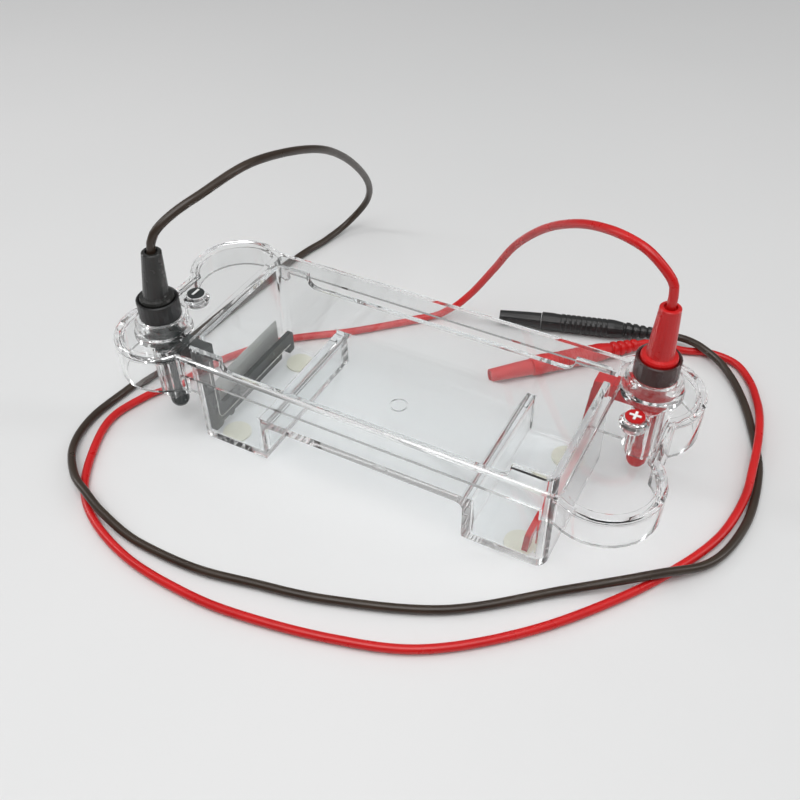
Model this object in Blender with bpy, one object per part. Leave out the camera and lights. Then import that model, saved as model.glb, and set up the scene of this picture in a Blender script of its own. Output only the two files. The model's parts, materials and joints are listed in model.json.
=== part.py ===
"""Horizontal gel electrophoresis tank with its electrode cassettes, safety lid and two leads.

A clear moulded tank has a buffer reservoir at each end and a raised gel stage between them, with open
space under the stage. An electrode cassette hangs in each reservoir: its arm passes over the end wall,
its post stands in a hexagonal socket outside the wall, and a banana pin on top of the post meets the
socket in the lid. The bone-shaped lid carries the connectors, the cable boots and the leads.

Sizes are in millimetres. +X runs along the tank towards the anode, +Z is up and the origin is on the
table under the middle of the tank. The tank, lid and cassettes repeat under a half turn about Z, so
the cathode (black, -X) end is modelled by turning the anode (red, +X) end round.
"""
import math

import bmesh
import bpy
from mathutils import Matrix, Vector

MM = 0.001
GAP = 0.3                      # between pieces that touch
FAR = 200.0                    # reach of a cutter that goes right through

# Tank
TANK_HALF_LENGTH = 90.0
TANK_HALF_WIDTH = 38.5
WALL = 3.0
TANK_BOTTOM = 1.5
TANK_TOP = 55.7
TANK_CORNER = 5.0
WELL_ROUND = 2.0               # upright inside corners
RESERVOIR_LENGTH = 35.8        # across the end wall, the reservoir and its inner wall
STAGE_UNDERSIDE = 24.0
STAGE_TOP = 27.0
SIDE_NOTCH_HALF = 71.0         # the long walls are lower between the corners
SIDE_NOTCH_Z = 48.4
ARCH_ROUND = 4.0               # inside corners of the arch under the stage
ARCH_FOOT_ROUND = 2.5          # its outside corners, at the reservoirs' bottoms
GATE_MARK_RADIUS = 4.4
GATE_MARK_DEPTH = 0.5
GATE_MARK_LINE = 0.6
LABEL_THICKNESS = 0.3
LABEL_HALF_WIDTH = 29.0
LABEL_Z = (6.0, 26.0)

# Foot pads
PAD_RADIUS = 7.0
PAD_THICKNESS = 1.2
PAD_X = 75.5
PAD_Y = 28.0

# Electrode post and its socket, on the connector's axis
POST_X = 107.0
POST_Y = 31.5
POST_RADIUS = 4.6
POST_BOTTOM = 9.3
POST_FOOT_TOP = 22.0           # the domed foot below, the slimmer shank above
SHANK_RADIUS = 3.4
SOCKET_HEX_RADIUS = 7.8
SOCKET_BORE = 5.0
SOCKET_BOTTOM = 20.0
SOCKET_TOP = 46.2
WEB_BOTTOM = 23.0

# Electrode cassette
ARM_BOTTOM = 46.5
ARM_TOP = 53.6
HUB_RADIUS = 6.6
LEG_Y_OUT = 35.0
LEG_Y_IN = 28.0
PLATE_X_OUT = 85.2
PLATE_X_IN = 82.6
BAR_TOP = 17.0
BAR_BOTTOM = 6.8
BAR_END_Y = -34.3
HOOK_NOTCH_Z = 11.0            # the bar's free end is a small hook
LEG_BOTTOM = 4.9
WIRE_Z = 11.0
WIRE_RADIUS = 0.25
WIRE_X = 82.0
PIN_TOP = 66.5
ANODE_PLATE_LEAN = 0.085       # the anode's plate leans in from the end wall as it goes down

# Lid
LID_TOP = 58.0
LID_PLATE = 2.0
LID_SKIRT = 2.5
RAIL_HALF_WIDTH = 46.5
RAIL_SKIRT_BOTTOM = 47.3
PLAIN_LOBE = (106.0, -26.0, 24.0)            # centre x, centre y, radius at the +X end
PLUG_LOBE = (POST_X, POST_Y, 23.5)
END_EDGE_X = 122.5
PLAIN_SKIRT_BOTTOM = 42.5
PLUG_SKIRT_BOTTOM = 38.0
DECK_START_X = 94.0
DECK_TOP = 56.0
DECK_UNDERSIDE = 54.0
RIM_WIDTH = 4.2
EDGE_ROUND = 1.6
RAIL_TRIM_X = 88.0

# Connector in the lid
COLLAR_RADIUS = 12.5
COLLAR_TOP = 66.0
SLEEVE_RADIUS = 9.5
CONNECTOR_RADIUS = 9.7
CONNECTOR_TOP = 75.5
BOOT_FLANGE_RADIUS = 8.0
BOOT_FOOT_RADIUS = 5.9
BOOT_CONE_Z = 78.2
BOOT_TOP = 101.0
BOOT_TOP_RADIUS = 4.5
BOOT_SEAT = 73.0
CONTACT_BORE = 3.9
CONTACT_TOP = 69.5
LEAD_FOOT_Z = 99.8

# Polarity marks
MARK_X = 106.7
MARK_Y = 6.7
MARK_POST_TOP = 61.0
MARK_DISC_RADIUS = 4.2

# Leads and their far plugs
LEAD_RADIUS = 2.0
LEAD_POINTS = 78
PLUG_RADIUS = 5.0
PLUG_Z = 5.3
BELLOWS_LENGTH = 16.0
GRIP_LENGTH = 45.0
SLEEVE_LENGTH = 23.0
GRIP_RIBS = 10
RIB_PITCH = 2.8

# Each route starts just above the boot and ends just behind the far plug's strain relief.
CATHODE_ROUTE = [
    (-103.4, -31.2, 105), (-101.4, -28.8, 110.5), (-97.5, -21.5, 115.5), (-92, -9, 119.5),
    (-85, 23, 122), (-84, 69, 107), (-89, 107, 83), (-98, 144, 49), (-109, 162, 23),
    (-121, 156, 6), (-127, 135, 2.1), (-132, 112, 2.1), (-137, 59, 2.1), (-141, 4, 2.1),
    (-145, -30, 2.1), (-147, -56, 2.1),
    (-140, -76, 3.5), (-125, -91, 6), (-111, -98, 6.8), (-97, -103, 5), (-75, -107, 2.1), (-44, -107, 2.1),
    (-17, -102, 2.1), (17, -94, 2.1), (62, -76, 2.1), (102, -45, 3), (134, -22, 6.6),
    (153, -2, 3), (161, 26, 2.1), (160, 56, 2.1), (154, 78, 2.1), (141, 108, 2.1),
    (127, 127, 3.5), (113, 134, 6.6), (102, 138, 6), (90, 137.5, 5.3)]
ANODE_ROUTE = [
    (107, 31.5, 106), (105.7, 32, 112), (99, 33, 118.5), (90, 35.5, 122.5), (75, 43, 121),
    (57, 57, 111), (37, 74, 93), (18, 90, 69), (3, 102, 43), (-11, 106, 20),
    (-23, 103, 6), (-34, 94, 2.1), (-64, 66, 2.1), (-94, 42, 2.1), (-115, 13, 2.1),
    (-125, -13, 2.1), (-133, -30, 2.1), (-138, -50, 2.1), (-132, -70, 2.1), (-118, -93, 2.1),
    (-99, -107, 2.1), (-73, -116, 2.1), (-45, -119, 2.1), (-16, -118, 2.1), (26, -110, 2.1),
    (62, -97, 2.1), (96, -70, 2.1), (124, -37, 2.1), (143, -7, 2.1), (153, 16, 2.1),
    (157, 40, 3.4), (156, 60, 6.3), (154, 80, 6.8), (151, 97, 5.4), (147, 111, 3), (141, 124, 2.1),
    (131, 135, 2.1), (117, 137.5, 2.1), (105, 133.5, 2.1), (93, 129.5, 4), (84, 126, 5.3)]
CATHODE_PLUG_AXIS = (-0.959, -0.284)
ANODE_PLUG_AXIS = (-0.712, -0.702)
LEAD_FEET = {"cathode": (-104.2, -31.5), "anode": (107.0, 31.5)}
LEAD_ENTRY = 5.0               # straight run into the boot and into the strain relief
CATHODE_BOOT_LEAN = 3.0        # the pull of its lead leans the black boot towards +X

COLOURS = {
    "clear": ((0.93, 0.95, 0.95, 0.25), 0.05, 0.0),
    "black_plastic": ((0.05, 0.055, 0.05, 1.0), 0.45, 0.0),
    "red_plastic": ((0.55, 0.01, 0.01, 1.0), 0.35, 0.0),
    "grey_plastic": ((0.09, 0.075, 0.07, 1.0), 0.35, 0.0),
    "white_print": ((0.9, 0.9, 0.9, 1.0), 0.4, 0.0),
    "black_rubber": ((0.06, 0.06, 0.055, 1.0), 0.55, 0.0),
    "red_rubber": ((0.62, 0.02, 0.02, 1.0), 0.45, 0.0),
    "pad": ((0.78, 0.76, 0.62, 1.0), 0.6, 0.0),
    "platinum": ((0.75, 0.74, 0.72, 1.0), 0.25, 1.0),
    "nickel": ((0.7, 0.66, 0.55, 1.0), 0.25, 1.0),
}


def clear_scene():
    """Remove what the file opened with."""
    for item in list(bpy.data.objects):
        bpy.data.objects.remove(item, do_unlink=True)


def material(name):
    """Return the shared Principled material of that name."""
    found = bpy.data.materials.get(name)
    if found:
        return found
    colour, roughness, metallic = COLOURS[name]
    made = bpy.data.materials.new(name)
    made.use_nodes = True
    shader = made.node_tree.nodes["Principled BSDF"]
    shader.inputs["Base Color"].default_value = colour
    shader.inputs["Roughness"].default_value = roughness
    shader.inputs["Metallic"].default_value = metallic
    made.diffuse_color = colour
    return made


def link_mesh(name, bm):
    """Turn a bmesh in millimetres into an object in metres."""
    bmesh.ops.scale(bm, vec=(MM, MM, MM), verts=bm.verts)
    bmesh.ops.recalc_face_normals(bm, faces=bm.faces)
    mesh = bpy.data.meshes.new(name)
    bm.to_mesh(mesh)
    bm.free()
    made = bpy.data.objects.new(name, mesh)
    bpy.context.scene.collection.objects.link(made)
    return made


def prism(name, outline, low, high, axis="Z"):
    """Extrude an outline from low to high: (x, y) along Z, (x, z) along Y or (y, z) along X."""
    place = {
        "Z": lambda a, b, h: (a, b, h),
        "Y": lambda a, b, h: (a, h, b),
        "X": lambda a, b, h: (h, a, b),
    }[axis]
    bm = bmesh.new()
    ends = [[bm.verts.new(place(a, b, h)) for a, b in outline] for h in (low, high)]
    count = len(outline)
    bm.faces.new(ends[0])
    bm.faces.new(ends[1])
    for i in range(count):
        j = (i + 1) % count
        bm.faces.new((ends[0][i], ends[0][j], ends[1][j], ends[1][i]))
    return link_mesh(name, bm)


def loft(name, levels):
    """Join outlines with equal numbers of points, each at its own height, into one solid."""
    bm = bmesh.new()
    rings = [[bm.verts.new((x, y, z)) for x, y in outline] for outline, z in levels]
    bm.faces.new(rings[0])
    bm.faces.new(rings[-1])
    for lower, upper in zip(rings, rings[1:]):
        for i in range(len(lower)):
            j = (i + 1) % len(lower)
            bm.faces.new((lower[i], lower[j], upper[j], upper[i]))
    return link_mesh(name, bm)


def box(name, low, high):
    """An upright box between two corners."""
    outline = [(low[0], low[1]), (high[0], low[1]), (high[0], high[1]), (low[0], high[1])]
    return prism(name, outline, low[2], high[2])


def arc(cx, cy, radius, start, end, steps):
    """Points on an arc, angles in degrees, both ends included."""
    angles = [math.radians(start + (end - start) * i / steps) for i in range(steps + 1)]
    return [(cx + radius * math.cos(a), cy + radius * math.sin(a)) for a in angles]


def rounded_rectangle(x0, x1, y0, y1, radius, steps=5):
    """A rectangle outline with round corners."""
    corners = [(x1 - radius, y0 + radius, -90), (x1 - radius, y1 - radius, 0),
               (x0 + radius, y1 - radius, 90), (x0 + radius, y0 + radius, 180)]
    outline = []
    for cx, cy, start in corners:
        outline += arc(cx, cy, radius, start, start + 90, steps)
    return outline


def turned(name, profile, steps=24, hollow=False):
    """Turn (radius, z) points about Z. A solid's profile starts and ends on the axis; a hollow's doesn't."""
    bm = bmesh.new()
    rings = []
    for radius, z in profile:
        if radius == 0:
            rings.append([bm.verts.new((0, 0, z))])
            continue
        angles = [2 * math.pi * i / steps for i in range(steps)]
        rings.append([bm.verts.new((radius * math.cos(a), radius * math.sin(a), z)) for a in angles])
    pairs = list(zip(rings, rings[1:]))
    if hollow:
        pairs.append((rings[-1], rings[0]))
    for lower, upper in pairs:
        for i in range(steps):
            j = (i + 1) % steps
            corners = [lower[i % len(lower)], lower[j % len(lower)],
                       upper[j % len(upper)], upper[i % len(upper)]]
            bm.faces.new(list(dict.fromkeys(corners)))
    return link_mesh(name, bm)


def combine(target, tool, operation):
    """Apply a Boolean with another object, which is used up."""
    modifier = target.modifiers.new("combine", "BOOLEAN")
    modifier.operation = operation
    modifier.object = tool
    modifier.solver = "EXACT"
    depsgraph = bpy.context.evaluated_depsgraph_get()
    depsgraph.update()
    mesh = bpy.data.meshes.new_from_object(target.evaluated_get(depsgraph))
    target.modifiers.clear()
    target.data = mesh
    bpy.data.objects.remove(tool, do_unlink=True)
    return target


def cut(target, tool):
    """Take a tool's volume away."""
    return combine(target, tool, "DIFFERENCE")


def join(target, tool):
    """Add a tool's volume."""
    return combine(target, tool, "UNION")


def place(item, matrix):
    """Move a mesh's points by a matrix in millimetres."""
    item.data.transform(Matrix.Scale(MM, 4) @ matrix @ Matrix.Scale(1 / MM, 4))
    return item


def finish(item, name, material_name, smooth=False):
    """Name the object and its mesh, give it its material and shade round pieces smooth."""
    item.name = name
    item.data.name = name
    item.data.materials.clear()
    item.data.materials.append(material(material_name))
    if smooth:
        item.data.shade_smooth()
        item.data.set_sharp_from_angle(angle=math.radians(35))
    return item


def half_turn(end):
    """The anode end is as modelled; the cathode end is turned half round about Z."""
    return Matrix.Identity(4) if end == "anode" else Matrix.Rotation(math.pi, 4, "Z")


def tank_outline(inset):
    """The tank's plan, moved in by inset."""
    return rounded_rectangle(-TANK_HALF_LENGTH + inset, TANK_HALF_LENGTH - inset,
                             -TANK_HALF_WIDTH + inset, TANK_HALF_WIDTH - inset, TANK_CORNER - inset)


def arch_outline(half):
    """The open space under the stage seen along Y: round at its top and round out at its feet."""
    foot = half + ARCH_FOOT_ROUND
    foot_z = TANK_BOTTOM + ARCH_FOOT_ROUND
    right = [(foot, -FAR)] + arc(foot, foot_z, ARCH_FOOT_ROUND, 270, 180, 4)
    right += arc(half - ARCH_ROUND, STAGE_UNDERSIDE - ARCH_ROUND, ARCH_ROUND, 0, 90, 5)
    return right + [(-x, z) for x, z in reversed(right)]


def make_tank():
    """Reservoirs, gel stage, low long walls, arm notches and the two electrode sockets, in one moulding."""
    tank = loft("tank", [(tank_outline(1.2), TANK_BOTTOM), (tank_outline(0.4), TANK_BOTTOM + 0.4),
                         (tank_outline(0), TANK_BOTTOM + 1.2), (tank_outline(0), TANK_TOP - 0.6),
                         (tank_outline(0.6), TANK_TOP)])
    inner_x = TANK_HALF_LENGTH - WALL
    inner_y = TANK_HALF_WIDTH - WALL
    stage_end = TANK_HALF_LENGTH - RESERVOIR_LENGTH - WALL
    upper = rounded_rectangle(-inner_x, inner_x, -inner_y, inner_y, WELL_ROUND)
    cut(tank, prism("upper", upper, STAGE_TOP, FAR))
    for side in (-1, 1):
        near, far = sorted((side * (stage_end + WALL), side * inner_x))
        floor = TANK_BOTTOM + WALL
        levels = []
        for i, z in ((1.0, floor), (0.3, floor + 0.3), (0, floor + 1), (0, STAGE_TOP + 1)):
            outline = rounded_rectangle(near + i, far - i, -inner_y + i, inner_y - i, WELL_ROUND - i)
            levels.append((outline, z))
        cut(tank, loft("well", levels))
    cut(tank, prism("under_stage", arch_outline(stage_end), -FAR, FAR, "Y"))
    notch = rounded_rectangle(-SIDE_NOTCH_HALF, SIDE_NOTCH_HALF, SIDE_NOTCH_Z, TANK_TOP + 10, TANK_CORNER)
    cut(tank, prism("side_notch", notch, -FAR, FAR, "Y"))
    inner = GATE_MARK_RADIUS - GATE_MARK_LINE
    ring = turned("gate_mark", [(inner, 0), (GATE_MARK_RADIUS, 0), (GATE_MARK_RADIUS, 5), (inner, 5)],
                  hollow=True)
    cut(tank, place(ring, Matrix.Translation((0, 0, STAGE_TOP - GATE_MARK_DEPTH))))
    for end in ("anode", "cathode"):
        add_socket(tank, end)
    return finish(tank, "tank_body", "clear")


def add_socket(tank, end):
    """The hexagonal socket for an electrode post, its web, and the arm's notch in the end wall."""
    turn = half_turn(end)
    hexagon = [(POST_X + SOCKET_HEX_RADIUS * math.cos(math.radians(a)),
                POST_Y + SOCKET_HEX_RADIUS * math.sin(math.radians(a))) for a in range(0, 360, 60)]
    join(tank, place(prism("socket", hexagon, SOCKET_BOTTOM, SOCKET_TOP), turn))
    web = box("web", (TANK_HALF_LENGTH - 1, POST_Y - WALL / 2, WEB_BOTTOM),
              (POST_X - SOCKET_BORE - 1, POST_Y + WALL / 2, SOCKET_TOP))
    join(tank, place(web, turn))
    bore = turned("bore", [(0, -1), (SOCKET_BORE, -1), (SOCKET_BORE, 60), (0, 60)])
    cut(tank, place(bore, turn @ Matrix.Translation((POST_X, POST_Y, 0))))
    notch = box("arm_notch", (TANK_HALF_LENGTH - WALL - 2, LEG_Y_IN - 0.5, SOCKET_TOP),
                (TANK_HALF_LENGTH + 2, TANK_HALF_WIDTH - WALL, FAR))
    cut(tank, place(notch, turn))


def make_label():
    """A blank label on the outside of the cathode end wall."""
    x = -TANK_HALF_LENGTH - GAP
    outline = rounded_rectangle(-LABEL_HALF_WIDTH, LABEL_HALF_WIDTH, *LABEL_Z, 1.0, 3)
    finish(prism("label", outline, x - LABEL_THICKNESS, x, "X"), "end_label", "white_print")


def make_foot_pads():
    """A round soft pad under each reservoir corner."""
    for side_x, word_x in ((-1, "cathode"), (1, "anode")):
        for side_y, word_y in ((-1, "front"), (1, "rear")):
            profile = [(0, 0), (PAD_RADIUS - 0.3, 0), (PAD_RADIUS, 0.3),
                       (PAD_RADIUS, PAD_THICKNESS), (0, PAD_THICKNESS)]
            spot = Matrix.Translation((side_x * PAD_X, side_y * PAD_Y, 0))
            pad = place(turned("pad", profile, 20), spot)
            finish(pad, f"foot_pad_{word_x}_{word_y}", "pad", smooth=True)


def bar_outline():
    """The cassette's plate seen along X: leg, bar, a round tab under it and the hook at its free end."""
    outline = [(LEG_Y_IN, ARM_TOP), (LEG_Y_OUT, ARM_TOP), (LEG_Y_OUT, LEG_BOTTOM + 2)]
    outline += arc(LEG_Y_OUT - 2, LEG_BOTTOM + 2, 2, 0, -90, 3)[1:]
    outline += arc(LEG_Y_IN + 2, LEG_BOTTOM + 2, 2, -90, -180, 3)
    outline += [(LEG_Y_IN, BAR_BOTTOM), (24, BAR_BOTTOM)]
    outline += arc(21, LEG_BOTTOM + 2.2, 2.2, 0, -180, 4)
    outline += [(18, BAR_BOTTOM), (BAR_END_Y + 12, BAR_BOTTOM), (BAR_END_Y + 11, HOOK_NOTCH_Z)]
    outline += [(BAR_END_Y + 6, HOOK_NOTCH_Z), (BAR_END_Y + 5.5, LEG_BOTTOM + 1)]
    outline += [(BAR_END_Y + 4.5, LEG_BOTTOM), (BAR_END_Y + 1, LEG_BOTTOM), (BAR_END_Y, LEG_BOTTOM + 1)]
    outline += arc(BAR_END_Y + 1.5, BAR_TOP - 1.5, 1.5, 180, 90, 3)
    outline += arc(LEG_Y_IN - 3, BAR_TOP + 3, 3, -90, 0, 3)
    return outline


def plate_lean(end):
    """Shear that keeps the plate's top in place and moves its foot in from the end wall."""
    lean = Matrix.Identity(4)
    if end == "anode":
        lean[0][2] = ANODE_PLATE_LEAN
        lean[0][3] = -ANODE_PLATE_LEAN * ARM_TOP
    return lean


def make_cassette(end):
    """Cassette frame with its post, the platinum wire on it and the banana pin on the post's top."""
    turn = half_turn(end)
    frame = place(prism("frame", bar_outline(), PLATE_X_IN, PLATE_X_OUT, "X"), plate_lean(end))
    arm = box("arm", (PLATE_X_IN + 0.1, LEG_Y_IN, ARM_BOTTOM), (POST_X, LEG_Y_OUT, ARM_TOP))
    join(frame, arm)
    post_profile = [(0, POST_BOTTOM)]
    post_profile += [(POST_RADIUS * math.sin(a), POST_BOTTOM + POST_RADIUS * (1 - math.cos(a)))
                     for a in (0.45, 0.9, 1.3)]
    post_profile += [(POST_RADIUS, POST_BOTTOM + POST_RADIUS), (POST_RADIUS, POST_FOOT_TOP),
                     (SHANK_RADIUS, POST_FOOT_TOP + 1), (SHANK_RADIUS, ARM_BOTTOM),
                     (HUB_RADIUS, ARM_BOTTOM), (HUB_RADIUS, ARM_TOP), (0, ARM_TOP)]
    join(frame, place(turned("post", post_profile), Matrix.Translation((POST_X, POST_Y, 0))))
    colour = "black_plastic" if end == "cathode" else "red_plastic"
    finish(place(frame, turn), f"{end}_cassette_frame", colour)
    make_wire(end)
    pin_base = ARM_TOP + GAP
    pin_profile = [(0, pin_base), (2.2, pin_base), (2.2, pin_base + 1.5), (1.7, pin_base + 2),
                   (2.05, pin_base + 5), (1.7, PIN_TOP - 2), (1.1, PIN_TOP), (0, PIN_TOP)]
    pin = place(turned("pin", pin_profile, 16), turn @ Matrix.Translation((POST_X, POST_Y, 0)))
    finish(pin, f"{end}_banana_pin", "nickel", smooth=True)


def make_wire(end):
    """The platinum wire runs down the leg and along the bar, just off the plate's face."""
    leg_y = LEG_Y_IN + 3
    points = [(leg_y, ARM_BOTTOM), (leg_y, WIRE_Z + 3), (leg_y - 1, WIRE_Z + 0.8),
              (leg_y - 3, WIRE_Z), (BAR_END_Y + 4, WIRE_Z)]
    route = [(WIRE_X, y, z) for y, z in points]
    make_tube(f"{end}_platinum_wire", route, WIRE_RADIUS, "platinum", half_turn(end) @ plate_lean(end))


def make_tube(name, points, radius, material_name, matrix=None):
    """A curve object with a round bevel and filled ends, on a straight-segment spline."""
    curve = bpy.data.curves.new(name, "CURVE")
    curve.dimensions = "3D"
    curve.bevel_depth = radius * MM
    curve.bevel_resolution = 2
    curve.use_fill_caps = True
    spline = curve.splines.new("POLY")
    spline.points.add(len(points) - 1)
    for target, point in zip(spline.points, points):
        moved = (matrix or Matrix.Identity(4)) @ Vector(point)
        target.co = (*(moved * MM), 1.0)
    curve.materials.append(material(material_name))
    made = bpy.data.objects.new(name, curve)
    bpy.context.scene.collection.objects.link(made)
    return made


def lid_end(inset):
    """Outline of the lid's +X end from the front rail round to the back rail, anticlockwise."""
    rail = RAIL_HALF_WIDTH - inset
    edge = END_EDGE_X - inset
    ax, ay, ar = PLAIN_LOBE
    bx, by, br = PLUG_LOBE
    ar -= inset
    br -= inset
    first = math.degrees(math.atan2(-rail - ay, -math.sqrt(ar ** 2 - (rail + ay) ** 2)))
    second = math.degrees(math.acos((edge - ax) / ar))
    third = -math.degrees(math.acos((edge - bx) / br))
    fourth = 180 - math.degrees(math.asin((rail - by) / br))
    return arc(ax, ay, ar, first, second, 16) + arc(bx, by, br, third, fourth, 16)


def lid_outline(inset):
    """The whole bone-shaped outline, moved in by inset."""
    end = lid_end(inset)
    return end + [(-x, -y) for x, y in end]


def deck_outline(inset):
    """The recess of the +X deck inside the lid's rim, moved in by inset."""
    kept = [i for i, point in enumerate(lid_end(RIM_WIDTH)) if point[0] > DECK_START_X + 3]
    moved = lid_end(RIM_WIDTH + inset)
    outline = [moved[i] for i in kept]
    start_x = DECK_START_X + inset
    low_y = outline[0][1] + 1.5
    high_y = outline[-1][1] - 1.5
    outline += arc(start_x + 3, high_y - 3, 3, 90, 180, 3)
    outline += arc(start_x + 3, low_y + 3, 3, 180, 270, 3)
    return outline


def make_lid():
    """Flat lid with a rim, recessed decks, skirts of three depths, collars and polarity posts."""
    lid = loft("lid", [(lid_outline(0), PLUG_SKIRT_BOTTOM), (lid_outline(0), LID_TOP - EDGE_ROUND),
                       (lid_outline(0.3 * EDGE_ROUND), LID_TOP - 0.3 * EDGE_ROUND),
                       (lid_outline(EDGE_ROUND), LID_TOP)])
    cut(lid, loft("cavity", [(lid_outline(LID_SKIRT), 0), (lid_outline(LID_SKIRT), DECK_UNDERSIDE - 1),
                             (lid_outline(LID_SKIRT + 1), DECK_UNDERSIDE)]))
    over_x = TANK_HALF_LENGTH + 1.5
    over_y = RAIL_HALF_WIDTH - LID_SKIRT
    cut(lid, box("over_tank", (-over_x, -over_y, 0), (over_x, over_y, LID_TOP - LID_PLATE)))
    cut(lid, box("rail_trim", (-RAIL_TRIM_X, -FAR, 0), (RAIL_TRIM_X, FAR, RAIL_SKIRT_BOTTOM)))
    for end in ("anode", "cathode"):
        shape_deck(lid, half_turn(end))
    return finish(lid, "lid_shell", "clear")


def shape_deck(lid, turn):
    """Trim one end's skirt, sink its deck and add the collar and the polarity post."""
    cut(lid, place(box("skirt_trim", (RAIL_TRIM_X - 8, -FAR, 0), (FAR, 9, PLAIN_SKIRT_BOTTOM)), turn))
    cut(lid, place(loft("deck", [(deck_outline(0.6), DECK_TOP), (deck_outline(0), DECK_TOP + 0.6),
                                 (deck_outline(0), LID_TOP - 0.5), (deck_outline(-0.5), LID_TOP + 0.05),
                                 (deck_outline(-0.5), FAR)]), turn))
    bore = SLEEVE_RADIUS + 0.4
    low = DECK_TOP - 1
    wide = COLLAR_RADIUS
    profile = [(bore, low), (wide + 1.2, low), (wide + 1.2, 58.4), (wide + 0.6, 59.2), (wide - 0.4, 59.8),
               (wide - 0.4, 61), (wide, 61.6), (wide, 63.4), (wide - 0.6, 64),
               (wide - 0.8, COLLAR_TOP - 0.6), (wide - 1.4, COLLAR_TOP), (bore, COLLAR_TOP)]
    collar = turned("collar", profile, 28, hollow=True)
    spot = turn @ Matrix.Translation((POST_X, POST_Y, 0))
    hole = turned("hole", [(0, 40), (bore, 40), (bore, 70), (0, 70)], 28)
    cut(lid, place(hole, spot))
    join(lid, place(collar, spot))
    post = turned("mark_post", [(0, low), (5.6, low), (5.6, 57.6), (6.3, 58.2), (6.3, 58.8), (5.2, 59.6),
                                (4.6, MARK_POST_TOP), (0, MARK_POST_TOP)], 20)
    join(lid, place(post, turn @ Matrix.Translation((MARK_X, MARK_Y, 0))))


def make_polarity_mark(end):
    """A printed disc on the clear post, with a plus or a minus on it."""
    turn = half_turn(end)
    base = MARK_POST_TOP + GAP
    profile = [(0, base), (MARK_DISC_RADIUS, base), (MARK_DISC_RADIUS, base + 0.5), (0, base + 0.5)]
    disc = place(turned("disc", profile, 20), turn @ Matrix.Translation((MARK_X, MARK_Y, 0)))
    finish(disc, f"{end}_polarity_disc", "black_plastic" if end == "cathode" else "red_plastic")
    low = base + 0.5 + GAP
    arm, half = 2.5, 0.55
    bar = box("bar", (MARK_X - half, MARK_Y - arm, low), (MARK_X + half, MARK_Y + arm, low + 0.3))
    if end == "anode":
        join(bar, box("cross", (MARK_X - arm, MARK_Y - half, low), (MARK_X + arm, MARK_Y + half, low + 0.3)))
    sign = "minus" if end == "cathode" else "plus"
    finish(place(bar, turn), f"{end}_{sign}_mark", "white_print")


def make_connector(end):
    """Sleeve in the collar, grey ring on it, metal socket inside them and the cable boot on top."""
    spot = half_turn(end) @ Matrix.Translation((POST_X, POST_Y, 0))
    colour = "black" if end == "cathode" else "red"
    low = DECK_UNDERSIDE + 0.1
    sleeve = turned("sleeve", [(CONTACT_BORE, low), (SLEEVE_RADIUS, low), (SLEEVE_RADIUS, COLLAR_TOP),
                               (CONTACT_BORE, COLLAR_TOP)], hollow=True)
    finish(place(sleeve, spot), f"{end}_connector_sleeve", f"{colour}_plastic", smooth=True)
    ring_low = COLLAR_TOP + GAP
    wide = CONNECTOR_RADIUS
    recess = BOOT_FLANGE_RADIUS + 0.5
    ring = turned("ring", [(0, ring_low), (wide, ring_low), (wide, CONNECTOR_TOP - 0.5),
                           (wide - 0.5, CONNECTOR_TOP), (recess, CONNECTOR_TOP - 0.4),
                           (recess, BOOT_SEAT), (0, BOOT_SEAT)], 28)
    bore_top = CONTACT_TOP + GAP
    cut(ring, turned("bore", [(0, 0), (CONTACT_BORE, 0), (CONTACT_BORE, bore_top), (0, bore_top)], 16))
    finish(place(ring, spot), f"{end}_connector_ring", "grey_plastic", smooth=True)
    contact = turned("contact", [(0, low + GAP), (3.5, low + GAP), (3.5, CONTACT_TOP), (0, CONTACT_TOP)], 16)
    bore_top = CONTACT_TOP - 1.3
    cut(contact, turned("contact_bore", [(0, 0), (2.5, 0), (2.5, bore_top), (0, bore_top)], 16))
    finish(place(contact, spot), f"{end}_socket_contact", "nickel", smooth=True)
    base = BOOT_SEAT + GAP
    flange = BOOT_FLANGE_RADIUS
    hole_floor = LEAD_FOOT_Z - GAP
    profile = [(0, base), (flange, base), (flange, 75.8), (flange - 0.5, 76.7), (flange - 1.3, 77),
               (BOOT_FOOT_RADIUS + 0.2, 77.2), (BOOT_FOOT_RADIUS, BOOT_CONE_Z),
               (BOOT_TOP_RADIUS, BOOT_TOP - 0.4), (BOOT_TOP_RADIUS - 0.4, BOOT_TOP),
               (LEAD_RADIUS + 0.9, BOOT_TOP), (LEAD_RADIUS + 0.8, hole_floor), (0, hole_floor)]
    boot = turned("boot", profile)
    place(boot, spot)
    if end == "cathode":
        lean_boot(boot)
    finish(boot, f"{end}_cable_boot", f"{colour}_rubber", smooth=True)


def lean_boot(boot):
    """Lean the boot's cone towards +X, more towards its tip."""
    foot = (BOOT_CONE_Z - 0.6) * MM
    top = BOOT_TOP * MM
    for vertex in boot.data.vertices:
        reach = max(0.0, (vertex.co.z - foot) / (top - foot))
        vertex.co.x += CATHODE_BOOT_LEAN * MM * reach


def smooth_route(points, count):
    """Even points along a Catmull-Rom curve through the route's own points."""
    route = [Vector(p) for p in points]
    padded = [2 * route[0] - route[1]] + route + [2 * route[-1] - route[-2]]
    fine = []
    for a, b, c, d in zip(padded, padded[1:], padded[2:], padded[3:]):
        for i in range(20):
            t = i / 20
            fine.append(0.5 * (2 * b + (c - a) * t + (2 * a - 5 * b + 4 * c - d) * t ** 2
                               + (3 * b - a - 3 * c + d) * t ** 3))
    fine.append(route[-1])
    reach = [0.0]
    for a, b in zip(fine, fine[1:]):
        reach.append(reach[-1] + (b - a).length)
    even = []
    k = 0
    for i in range(count):
        goal = reach[-1] * i / (count - 1)
        while k < len(fine) - 2 and reach[k + 1] < goal:
            k += 1
        share = (goal - reach[k]) / (reach[k + 1] - reach[k])
        point = fine[k].lerp(fine[k + 1], min(1.0, share))
        point.z = max(point.z, LEAD_RADIUS + 0.1)
        even.append(point)
    return even


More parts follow.
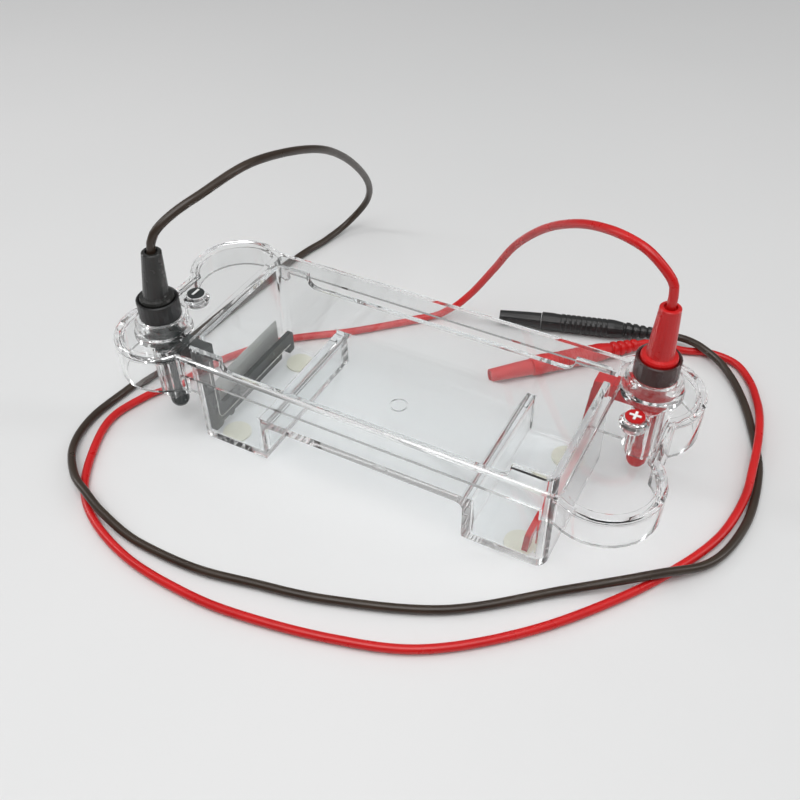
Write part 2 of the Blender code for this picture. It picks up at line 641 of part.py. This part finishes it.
def make_far_plug(end, start, direction):
    """Safety plug at a lead's far end: strain relief, grip, front sleeve and the pin in it."""
    turn = direction.to_track_quat("Z", "Y").to_matrix().to_4x4()
    spot = Matrix.Translation((start[0], start[1], PLUG_Z)) @ turn
    rubber = "black_rubber" if end == "cathode" else "red_rubber"
    bellows = [(0, GAP), (2.9, GAP)]
    for i in range(4):
        low = GAP + i * (BELLOWS_LENGTH - GAP) / 4
        radius = 3.3 + 0.35 * i
        bellows += [(radius, low + 0.8), (radius, low + 2.4), (radius - 0.7, low + 3.0)]
    bellows += [(4.0, BELLOWS_LENGTH), (0, BELLOWS_LENGTH)]
    relief = place(turned("bellows", bellows, 16), spot)
    finish(relief, f"{end}_plug_strain_relief", rubber, smooth=True)
    low = BELLOWS_LENGTH + GAP
    high = BELLOWS_LENGTH + GRIP_LENGTH
    grip = [(0, low), (PLUG_RADIUS - 0.9, low), (PLUG_RADIUS - 0.1, low + 5)]
    for i in range(GRIP_RIBS):
        rib = low + 7 + i * RIB_PITCH
        grip += [(PLUG_RADIUS, rib), (PLUG_RADIUS, rib + 0.5 * RIB_PITCH),
                 (PLUG_RADIUS - 0.35, rib + 0.7 * RIB_PITCH)]
    grip += [(PLUG_RADIUS, high - 6), (PLUG_RADIUS, high - 0.5), (PLUG_RADIUS - 0.5, high), (0, high)]
    finish(place(turned("grip", grip, 20), spot), f"{end}_plug_grip", rubber, smooth=True)
    low = high + GAP
    high = low + SLEEVE_LENGTH
    sleeve = turned("sleeve", [(0, low), (4.3, low), (4.1, low + 8), (3.4, high), (0, high)], 20)
    cut(sleeve, turned("sleeve_bore", [(0, low + 2), (2.7, low + 2), (2.7, high + 5), (0, high + 5)], 16))
    finish(place(sleeve, spot), f"{end}_plug_sleeve", rubber, smooth=True)
    foot = low + 2 + GAP
    tip = high - 1.5
    pin = [(0, foot), (1.7, foot), (2.0, low + 8), (1.7, high - 3), (1.0, tip), (0, tip)]
    finish(place(turned("pin", pin, 12), spot), f"{end}_plug_pin", "nickel", smooth=True)


def make_lead(end, route, axis):
    """A free lead from the boot to its far plug."""
    rubber = "black_rubber" if end == "cathode" else "red_rubber"
    direction = Vector((axis[0], axis[1], 0)).normalized()
    start = Vector(route[-1]) + LEAD_ENTRY * direction
    foot = Vector((*LEAD_FEET[end], LEAD_FOOT_Z))
    points = [foot] + smooth_route(route, LEAD_POINTS) + [start]
    make_tube(f"{end}_lead", points, LEAD_RADIUS, rubber)
    make_far_plug(end, start, direction)


def build():
    """Make every piece."""
    clear_scene()
    make_tank()
    make_label()
    make_foot_pads()
    make_lid()
    for end in ("cathode", "anode"):
        make_cassette(end)
        make_polarity_mark(end)
        make_connector(end)
    make_lead("cathode", CATHODE_ROUTE, CATHODE_PLUG_AXIS)
    make_lead("anode", ANODE_ROUTE, ANODE_PLUG_AXIS)


build()
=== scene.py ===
"""Looks for the gel electrophoresis tank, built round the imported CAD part. Lengths are in metres."""

import json
import math

import bmesh
import bpy
from mathutils import Matrix, Vector


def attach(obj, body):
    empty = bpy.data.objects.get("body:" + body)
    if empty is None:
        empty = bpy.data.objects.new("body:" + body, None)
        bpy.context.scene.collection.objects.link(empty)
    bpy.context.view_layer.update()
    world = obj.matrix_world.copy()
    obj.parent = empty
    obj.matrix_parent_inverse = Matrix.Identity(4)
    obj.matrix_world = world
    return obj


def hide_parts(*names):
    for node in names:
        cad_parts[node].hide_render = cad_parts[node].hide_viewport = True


MM = 0.001

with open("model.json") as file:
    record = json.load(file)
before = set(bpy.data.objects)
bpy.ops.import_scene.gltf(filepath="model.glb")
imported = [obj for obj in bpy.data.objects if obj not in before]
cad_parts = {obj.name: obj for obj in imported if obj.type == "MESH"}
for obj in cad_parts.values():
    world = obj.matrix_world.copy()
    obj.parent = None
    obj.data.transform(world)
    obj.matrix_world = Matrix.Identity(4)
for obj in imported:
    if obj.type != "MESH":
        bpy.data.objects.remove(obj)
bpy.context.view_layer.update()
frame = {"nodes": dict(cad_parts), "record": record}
nodes = frame["nodes"]

# ---------------------------------------------------------------- camera
CAMERA_PLACE = (0.1526, -0.2778, 0.3244)
CAMERA_YAW = math.radians(28.67)
CAMERA_PITCH = math.radians(42.78)       # down from level
CAMERA_ROLL = math.radians(-0.96)
CAMERA_LENS = 41.54
SENSOR = 36.0


def make_camera():
    """The photograph's viewpoint."""
    data = bpy.data.cameras.new("camera")
    data.lens = CAMERA_LENS
    data.sensor_width = SENSOR
    data.clip_start = 0.01
    data.clip_end = 20
    camera = bpy.data.objects.new("camera", data)
    turn = (Matrix.Rotation(CAMERA_YAW, 4, "Z")
            @ Matrix.Rotation(math.pi / 2 - CAMERA_PITCH, 4, "X")
            @ Matrix.Rotation(CAMERA_ROLL, 4, "Z"))
    camera.matrix_world = Matrix.Translation(CAMERA_PLACE) @ turn
    bpy.context.scene.collection.objects.link(camera)
    bpy.context.scene.camera = camera


# ---------------------------------------------------------------- materials
CLEAR_IOR = 1.49
CLEAR_COLOUR = (0.968, 0.975, 0.975)
CLEAR_SHADOW = (0.91, 0.92, 0.925)       # what a lamp's light keeps on its way through
NOISE_LOW = 0.3                          # the part of the noise's range that looks use
NOISE_HIGH = 0.7
DRIFT_SCALE = 60.0                       # noise scales, in waves per metre of the object
ROUGH_SCALE = 140.0
GRAIN_SCALE = 900.0
GRAIN_STRENGTH = 0.05
GRAIN_DISTANCE = 0.0002


def new_material(name):
    """A node material; returns it with its Principled node."""
    made = bpy.data.materials.new(name)
    made.use_nodes = True
    return made, made.node_tree.nodes["Principled BSDF"]


def node(material, kind, **settings):
    """Add a node and set its properties and inputs by name."""
    made = material.node_tree.nodes.new(kind)
    for key, value in settings.items():
        if hasattr(made, key):
            setattr(made, key, value)
        else:
            made.inputs[key.replace("_", " ")].default_value = value
    return made


def link(material, output, socket):
    """Join two sockets."""
    material.node_tree.links.new(output, socket)


def object_noise(material, scale, detail=3.0):
    """Noise in the object's own space."""
    place = node(material, "ShaderNodeTexCoord")
    noise = node(material, "ShaderNodeTexNoise", Scale=scale, Detail=detail)
    link(material, place.outputs["Object"], noise.inputs["Vector"])
    return noise


def vary(material, noise, socket, low, high):
    """Drive a number from noise, between low and high."""
    span = node(material, "ShaderNodeMapRange")
    span.inputs["From Min"].default_value = NOISE_LOW
    span.inputs["From Max"].default_value = NOISE_HIGH
    span.inputs["To Min"].default_value = low
    span.inputs["To Max"].default_value = high
    link(material, noise.outputs["Fac"], span.inputs["Value"])
    link(material, span.outputs["Result"], socket)


def tint(material, noise, socket, dark, light):
    """Drive a colour from noise, between two colours."""
    ramp = node(material, "ShaderNodeValToRGB")
    low, high = ramp.color_ramp.elements
    low.position = NOISE_LOW
    high.position = NOISE_HIGH
    low.color = (*dark, 1)
    high.color = (*light, 1)
    link(material, noise.outputs["Fac"], ramp.inputs["Fac"])
    link(material, ramp.outputs["Color"], socket)


def bump(material, noise, shader, strength, distance):
    """Raise a fine relief from noise."""
    relief = node(material, "ShaderNodeBump", Strength=strength, Distance=distance)
    link(material, noise.outputs["Fac"], relief.inputs["Height"])
    link(material, relief.outputs["Normal"], shader.inputs["Normal"])


def clear_plastic():
    """Clear moulded plastic: refracting, faintly wavy, and open to lamps."""
    made, shader = new_material("clear_plastic")
    shader.inputs["Base Color"].default_value = (*CLEAR_COLOUR, 1)
    shader.inputs["IOR"].default_value = CLEAR_IOR
    shader.inputs["Transmission Weight"].default_value = 1.0
    vary(made, object_noise(made, 35.0), shader.inputs["Roughness"], 0.0, 0.03)
    bump(made, object_noise(made, 9.0, 1.0), shader, 0.08, 0.002)
    through = node(made, "ShaderNodeBsdfTransparent")
    through.inputs["Color"].default_value = (*CLEAR_SHADOW, 1)
    path = node(made, "ShaderNodeLightPath")
    mix = node(made, "ShaderNodeMixShader")
    link(made, path.outputs["Is Shadow Ray"], mix.inputs["Fac"])
    link(made, shader.outputs["BSDF"], mix.inputs[1])
    link(made, through.outputs["BSDF"], mix.inputs[2])
    link(made, mix.outputs["Shader"], made.node_tree.nodes["Material Output"].inputs["Surface"])
    return made


def plastic(name, dark, light, rough):
    """Moulded plastic or rubber with a little colour drift and a fine grain."""
    made, shader = new_material(name)
    tint(made, object_noise(made, DRIFT_SCALE), shader.inputs["Base Color"], dark, light)
    vary(made, object_noise(made, ROUGH_SCALE), shader.inputs["Roughness"], rough * 0.85, rough * 1.15)
    bump(made, object_noise(made, GRAIN_SCALE, 2.0), shader, GRAIN_STRENGTH, GRAIN_DISTANCE)
    return made


def metal(name, dark, light, rough):
    """Plated or drawn metal."""
    made, shader = new_material(name)
    shader.inputs["Metallic"].default_value = 1.0
    tint(made, object_noise(made, 300.0), shader.inputs["Base Color"], dark, light)
    vary(made, object_noise(made, 800.0), shader.inputs["Roughness"], rough * 0.7, rough * 1.3)
    return made


LOOKS = {
    "clear": clear_plastic(),
    "black_plastic": plastic("black_plastic_look", (0.020, 0.024, 0.024), (0.034, 0.039, 0.037), 0.24),
    "red_plastic": plastic("red_plastic_look", (0.40, 0.006, 0.008), (0.52, 0.012, 0.014), 0.25),
    "grey_plastic": plastic("grey_plastic_look", (0.050, 0.042, 0.038), (0.070, 0.058, 0.054), 0.30),
    "white_print": plastic("white_print_look", (0.86, 0.86, 0.85), (0.93, 0.93, 0.92), 0.40),
    "black_rubber": plastic("black_rubber_look", (0.032, 0.020, 0.013), (0.045, 0.030, 0.020), 0.32),
    "red_rubber": plastic("red_rubber_look", (0.56, 0.006, 0.007), (0.66, 0.010, 0.011), 0.30),
    "pad": plastic("pad_look", (0.66, 0.64, 0.52), (0.78, 0.76, 0.66), 0.5),
    "platinum": metal("platinum_look", (0.66, 0.65, 0.62), (0.78, 0.77, 0.74), 0.22),
    "nickel": metal("nickel_look", (0.60, 0.55, 0.44), (0.75, 0.70, 0.58), 0.24),
    "label": plastic("label_look", (0.42, 0.42, 0.40), (0.50, 0.50, 0.48), 0.6),
    "red_ring": plastic("red_side_ring_look", (0.045, 0.018, 0.017), (0.075, 0.032, 0.030), 0.26),
    "black_plug": plastic("black_plug_look", (0.012, 0.012, 0.013), (0.022, 0.022, 0.022), 0.36),
    "black_boot": plastic("black_boot_look", (0.017, 0.017, 0.016), (0.028, 0.028, 0.026), 0.26),
}
# Nodes whose look differs from the rest of their slot.
OWN_LOOKS = {
    "end_label": "label", "anode_connector_ring": "red_ring",
    "cathode_connector_ring": "black_plug", "cathode_cable_boot": "black_boot",
    "cathode_plug_strain_relief": "black_plug", "cathode_plug_grip": "black_plug",
    "cathode_plug_sleeve": "black_plug",
}


def dress(item, slot):
    """Give an object one material."""
    item.data.materials.clear()
    item.data.materials.append(LOOKS[slot])


def dress_cad_nodes():
    """Every CAD node takes its own look, or else the look of its slot."""
    for part in frame["record"]["subparts"]:
        dress(nodes[part["node"]], OWN_LOOKS.get(part["node"], part["material_slot"]))


# ---------------------------------------------------------------- leads
LEAD_DIAMETER = 0.004
LEAD_POINTS = 420
ROUTE_STEPS = 20               # curve steps between two of a route's points
TABLE_CLEARANCE = 0.1 * MM
LEAD_FEET = {"cathode": (-0.1042, -0.0315, 0.0998), "anode": (0.107, 0.0315, 0.0998)}

# The same routes as the CAD tubes, in metres.
CATHODE_ROUTE = [
    (-0.1034, -0.0312, 0.105), (-0.1014, -0.0288, 0.1105),
    (-0.0975, -0.0215, 0.1155), (-0.092, -0.009, 0.1195),
    (-0.085, 0.023, 0.122), (-0.084, 0.069, 0.107), (-0.089, 0.107, 0.083), (-0.098, 0.144, 0.049),
    (-0.109, 0.162, 0.023), (-0.121, 0.156, 0.006), (-0.127, 0.135, 0.0021), (-0.132, 0.112, 0.0021),
    (-0.137, 0.059, 0.0021), (-0.141, 0.004, 0.0021), (-0.145, -0.030, 0.0021), (-0.147, -0.056, 0.0021),
    (-0.140, -0.076, 0.0035), (-0.125, -0.091, 0.006), (-0.111, -0.098, 0.0068), (-0.097, -0.103, 0.005),
    (-0.075, -0.107, 0.0021), (-0.044, -0.107, 0.0021), (-0.017, -0.102, 0.0021), (0.017, -0.094, 0.0021),
    (0.062, -0.076, 0.0021), (0.102, -0.045, 0.003), (0.134, -0.022, 0.0066), (0.153, -0.002, 0.003),
    (0.161, 0.026, 0.0021), (0.160, 0.056, 0.0021), (0.154, 0.078, 0.0021), (0.141, 0.108, 0.0021),
    (0.127, 0.127, 0.0035), (0.113, 0.134, 0.0066), (0.102, 0.138, 0.006), (0.090, 0.1375, 0.0053)]
ANODE_ROUTE = [
    (0.107, 0.0315, 0.106), (0.1057, 0.032, 0.112), (0.099, 0.033, 0.1185), (0.090, 0.0355, 0.1225),
    (0.075, 0.043, 0.121), (0.057, 0.057, 0.111), (0.037, 0.074, 0.093), (0.018, 0.090, 0.069),
    (0.003, 0.102, 0.043), (-0.011, 0.106, 0.020), (-0.023, 0.103, 0.006), (-0.034, 0.094, 0.0021),
    (-0.064, 0.066, 0.0021), (-0.094, 0.042, 0.0021), (-0.115, 0.013, 0.0021), (-0.125, -0.013, 0.0021),
    (-0.133, -0.030, 0.0021), (-0.138, -0.050, 0.0021), (-0.132, -0.070, 0.0021), (-0.118, -0.093, 0.0021),
    (-0.099, -0.107, 0.0021), (-0.073, -0.116, 0.0021), (-0.045, -0.119, 0.0021), (-0.016, -0.118, 0.0021),
    (0.026, -0.110, 0.0021), (0.062, -0.097, 0.0021), (0.096, -0.070, 0.0021), (0.124, -0.037, 0.0021),
    (0.143, -0.007, 0.0021), (0.153, 0.016, 0.0021), (0.157, 0.040, 0.0034), (0.156, 0.060, 0.0063),
    (0.154, 0.080, 0.0068), (0.151, 0.097, 0.0054), (0.147, 0.111, 0.003), (0.141, 0.124, 0.0021),
    (0.131, 0.135, 0.0021), (0.117, 0.1375, 0.0021), (0.105, 0.1335, 0.0021), (0.093, 0.1295, 0.004),
    (0.084, 0.126, 0.0053)]
PLUG_AXES = {"cathode": (-0.959, -0.284, 0), "anode": (-0.712, -0.702, 0)}
ROUTES = {"cathode": CATHODE_ROUTE, "anode": ANODE_ROUTE}
LEAD_ENTRY = 0.005             # straight run into the far plug's strain relief


def smooth_route(points, count):
    """Even points along a Catmull-Rom curve through the route's own points."""
    route = [Vector(p) for p in points]
    padded = [2 * route[0] - route[1]] + route + [2 * route[-1] - route[-2]]
    fine = []
    for a, b, c, d in zip(padded, padded[1:], padded[2:], padded[3:]):
        for i in range(ROUTE_STEPS):
            t = i / ROUTE_STEPS
            fine.append(0.5 * (2 * b + (c - a) * t + (2 * a - 5 * b + 4 * c - d) * t ** 2
                               + (3 * b - a - 3 * c + d) * t ** 3))
    fine.append(route[-1])
    reach = [0.0]
    for a, b in zip(fine, fine[1:]):
        reach.append(reach[-1] + (b - a).length)
    even = []
    k = 0
    for i in range(count):
        goal = reach[-1] * i / (count - 1)
        while k < len(fine) - 2 and reach[k + 1] < goal:
            k += 1
        share = (goal - reach[k]) / (reach[k + 1] - reach[k])
        point = fine[k].lerp(fine[k + 1], min(1.0, share))
        point.z = max(point.z, LEAD_DIAMETER / 2 + TABLE_CLEARANCE)
        even.append(point)
    return even


def make_lead(end):
    """A smooth round lead in place of the CAD tube."""
    route = ROUTES[end]
    axis = Vector(PLUG_AXES[end]).normalized()
    foot = Vector(LEAD_FEET[end])
    points = [foot] + smooth_route(route, LEAD_POINTS) + [Vector(route[-1]) + LEAD_ENTRY * axis]
    curve = bpy.data.curves.new(f"{end}_lead_look", "CURVE")
    curve.dimensions = "3D"
    curve.bevel_depth = LEAD_DIAMETER / 2
    curve.bevel_resolution = 5
    curve.use_fill_caps = True
    spline = curve.splines.new("POLY")
    spline.points.add(len(points) - 1)
    for target, point in zip(spline.points, points):
        target.co = (*point, 1)
    spline.use_smooth = True
    lead = bpy.data.objects.new(f"{end}_lead_look", curve)
    bpy.context.scene.collection.objects.link(lead)
    slot = "black_rubber" if end == "cathode" else "red_rubber"
    dress(lead, slot)
    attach(lead, "lid")
    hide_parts(f"{end}_lead")


# ---------------------------------------------------------------- clear mouldings
MERGE_DISTANCE = 0.001 * MM
COPLANAR_ANGLE = math.radians(0.5)
SMOOTH_ANGLE = math.radians(32)
# A face larger than this, in square metres, is a flat wall; the bends' facets are smaller.
FLAT_FACE_AREA = 2.0e-4


def moulded(name, source, body, slot):
    """A smooth copy of a CAD moulding, which it stands for."""
    bm = bmesh.new()
    bm.from_mesh(nodes[source].data)
    bmesh.ops.remove_doubles(bm, verts=bm.verts, dist=MERGE_DISTANCE)
    bmesh.ops.dissolve_limit(bm, angle_limit=COPLANAR_ANGLE, verts=bm.verts, edges=bm.edges)
    mesh = bpy.data.meshes.new(name)
    bm.to_mesh(mesh)
    bm.free()
    made = bpy.data.objects.new(name, mesh)
    bpy.context.scene.collection.objects.link(made)
    mesh.shade_smooth()
    mesh.set_sharp_from_angle(angle=SMOOTH_ANGLE)
    for polygon in mesh.polygons:
        polygon.use_smooth = polygon.area < FLAT_FACE_AREA
    weighted = made.modifiers.new("flat faces stay flat", "WEIGHTED_NORMAL")
    weighted.keep_sharp = True
    weighted.weight = 100
    dress(made, slot)
    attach(made, body)
    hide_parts(source)


# ---------------------------------------------------------------- stage
TABLE_HALF_WIDTH = 6.0
TABLE_DROP = 0.2 * MM          # the table lies this far under the feet
TABLE_DARK = (0.76, 0.765, 0.765)
TABLE_LIGHT = (0.80, 0.80, 0.80)


def make_floor():
    """A plain pale table."""
    bm = bmesh.new()
    bmesh.ops.create_grid(bm, x_segments=1, y_segments=1, size=TABLE_HALF_WIDTH)
    mesh = bpy.data.meshes.new("table")
    bm.to_mesh(mesh)
    bm.free()
    floor = bpy.data.objects.new("table", mesh)
    floor.location.z = -TABLE_DROP
    bpy.context.scene.collection.objects.link(floor)
    made, shader = new_material("table_look")
    tint(made, object_noise(made, 2.0), shader.inputs["Base Color"], TABLE_DARK, TABLE_LIGHT)
    shader.inputs["Roughness"].default_value = 0.45
    shader.inputs["Specular IOR Level"].default_value = 0.3
    floor.data.materials.append(made)


# Each lamp's name, place, size and power.
LAMPS = [
    ("softbox", (0.1, -0.35, 1.1), (0.9, 0.9), 7.4),
    ("strip_left", (-1.0, -0.2, 0.7), (0.15, 1.0), 2.6),
    ("strip_right", (1.0, 0.5, 0.8), (0.15, 1.0), 2.6),
]


def area_light(name, place, size, power):
    """A soft rectangular lamp aimed at the origin."""
    data = bpy.data.lights.new(name, "AREA")
    data.shape = "RECTANGLE"
    data.size, data.size_y = size
    data.energy = power
    lamp = bpy.data.objects.new(name, data)
    lamp.location = place
    lamp.rotation_euler = (-Vector(place)).to_track_quat("-Z", "Y").to_euler()
    bpy.context.scene.collection.objects.link(lamp)


def grey_ramp(tree, stops, source):
    """A ramp of greys, driven by a socket; returns its colour output."""
    ramp = tree.nodes.new("ShaderNodeValToRGB")
    elements = ramp.color_ramp.elements
    while len(elements) < len(stops):
        elements.new(0.5)
    for element, (position, _) in zip(elements, stops):
        element.position = position
    # Moving a stop can change the order, so the greys are set afterwards.
    for element, (_, grey) in zip(elements, stops):
        element.color = (grey, grey, grey, 1)
    tree.links.new(source, ramp.inputs["Fac"])
    return ramp.outputs["Color"]


# Brightness of the room by height (0 level, 1 overhead) and by side (0 the -Y side, 1 the +Y side).
ROOM_BY_HEIGHT = [(0.0, 0.25), (0.3, 0.62), (0.75, 1.0)]
ROOM_BY_SIDE = [(0.0, 0.2), (0.5, 1.0), (0.8, 0.72), (1.0, 0.5)]
ROOM_STRENGTH = 0.58


def make_world():
    """Soft room light: bright overhead, dimmer low down and towards both Y sides."""
    world = bpy.data.worlds.new("room")
    world.use_nodes = True
    bpy.context.scene.world = world
    tree = world.node_tree
    place = tree.nodes.new("ShaderNodeTexCoord")
    split = tree.nodes.new("ShaderNodeSeparateXYZ")
    tree.links.new(place.outputs["Generated"], split.inputs["Vector"])
    side = tree.nodes.new("ShaderNodeMapRange")
    side.inputs["From Min"].default_value = -1.0
    side.inputs["From Max"].default_value = 1.0
    tree.links.new(split.outputs["Y"], side.inputs["Value"])
    shade = tree.nodes.new("ShaderNodeMix")
    shade.data_type = "RGBA"
    shade.blend_type = "MULTIPLY"
    shade.inputs["Factor"].default_value = 1.0
    tree.links.new(grey_ramp(tree, ROOM_BY_HEIGHT, split.outputs["Z"]), shade.inputs["A"])
    tree.links.new(grey_ramp(tree, ROOM_BY_SIDE, side.outputs["Result"]), shade.inputs["B"])
    tree.links.new(shade.outputs["Result"], tree.nodes["Background"].inputs["Color"])
    tree.nodes["Background"].inputs["Strength"].default_value = ROOM_STRENGTH


def make_stage():
    """Table, lamps, room and picture settings."""
    make_floor()
    make_world()
    for lamp in LAMPS:
        area_light(*lamp)
    scene = bpy.context.scene
    scene.view_settings.view_transform = "Standard"
    scene.cycles.transparent_max_bounces = 24
    scene.cycles.transmission_bounces = 16
    scene.cycles.glossy_bounces = 20
    scene.cycles.max_bounces = 28


make_camera()
dress_cad_nodes()
moulded("tank_look", "tank_body", "tank", "clear")
moulded("lid_look", "lid_shell", "lid", "clear")
for lead_end in ("cathode", "anode"):
    make_lead(lead_end)
make_stage()
